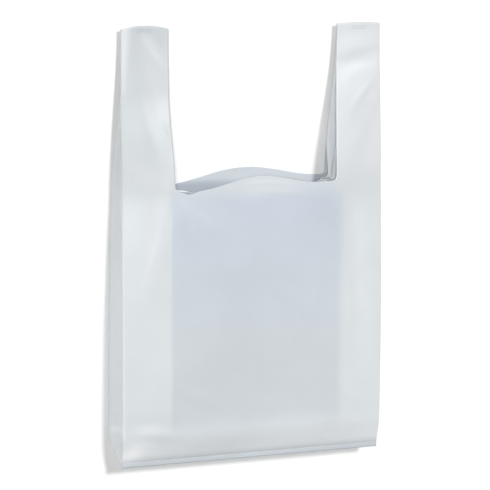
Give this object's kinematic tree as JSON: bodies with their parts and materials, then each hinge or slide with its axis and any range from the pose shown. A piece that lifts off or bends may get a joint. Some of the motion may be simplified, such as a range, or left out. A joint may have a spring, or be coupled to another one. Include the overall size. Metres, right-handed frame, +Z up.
{
  "type": "plastic carrier bag",
  "caption": "Thin white plastic carrier bag of the vest kind with side gussets, a sealed bottom and welded handle loops, lying on its back with its mouth part open.",
  "frame": {"origin": "on the surface the bag lies on, under the middle of its box", "axes": "+X across the bag, +Y from the bottom seal to the handle tops, +Z up, out of the front panel"},
  "size_m": [0.3094, 0.48, 0.0554],
  "materials": {
    "film": "thin white film, satin, softly creased"
  },
  "bodies": {
    "root": {"bag_film": "film"}
  },
  "joints": []
}
